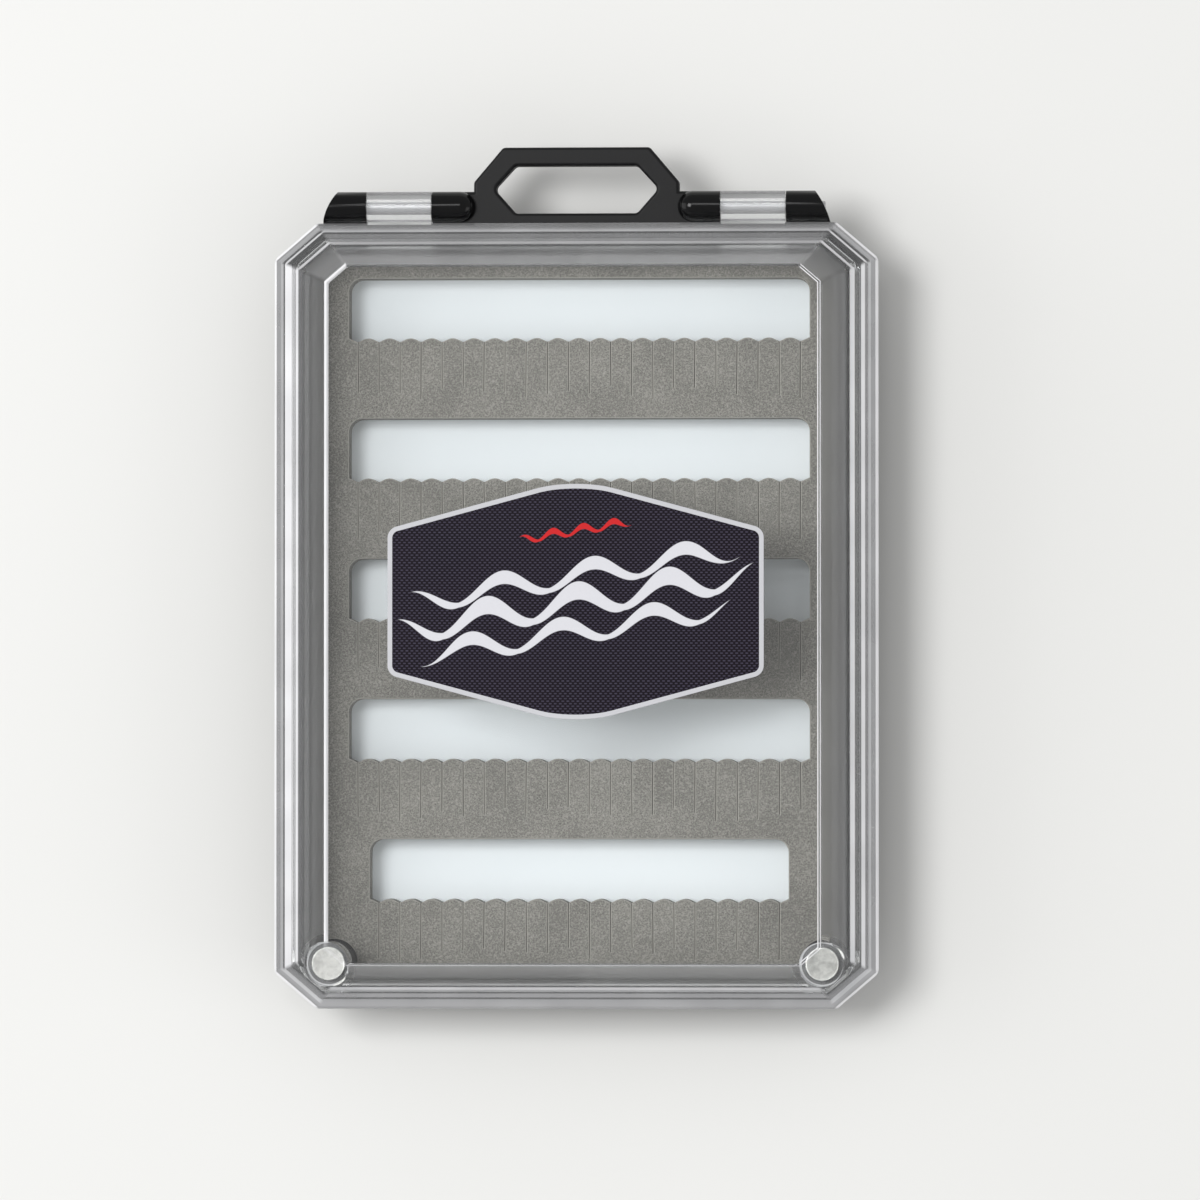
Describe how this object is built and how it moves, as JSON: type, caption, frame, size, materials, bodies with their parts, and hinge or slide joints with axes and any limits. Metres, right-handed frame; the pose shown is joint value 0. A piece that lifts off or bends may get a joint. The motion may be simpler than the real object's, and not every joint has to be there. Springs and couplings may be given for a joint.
{
  "type": "fly box",
  "caption": "Shallow moulded case with a carrying handle, a clear hinged lid shut by corner magnets, and a slotted foam insert that holds fishing flies.",
  "frame": {"origin": "middle of the flat underside", "axes": "+Z out of the lid's window, +Y towards the hinge and the handle, +X to the right as seen from above"},
  "size_m": [0.181, 0.258, 0.0463],
  "materials": {
    "black_plastic": "satin",
    "clear_plastic": "gloss",
    "steel_pin": "satin",
    "magnet_nickel": "polished",
    "grey_foam": "matte",
    "white_foam": "matte",
    "label_film": "gloss"
  },
  "bodies": {
    "base": {"base_shell": "black_plastic", "hinge_pin_left": "steel_pin", "hinge_pin_right": "steel_pin", "base_magnet_left": "magnet_nickel", "base_magnet_right": "magnet_nickel", "foam_insert": "grey_foam", "backing_sheet": "white_foam"},
    "lid": {"lid_shell": "clear_plastic", "lid_magnet_left": "magnet_nickel", "lid_magnet_right": "magnet_nickel", "lid_label": "label_film"}
  },
  "joints": [
    {"name": "lid_hinge", "type": "hinge", "parent": "base", "child": "lid", "pos_m": [0, 0.12255, 0.028], "axis": [-1, 0, 0], "range_deg": [0, 135]}
  ]
}
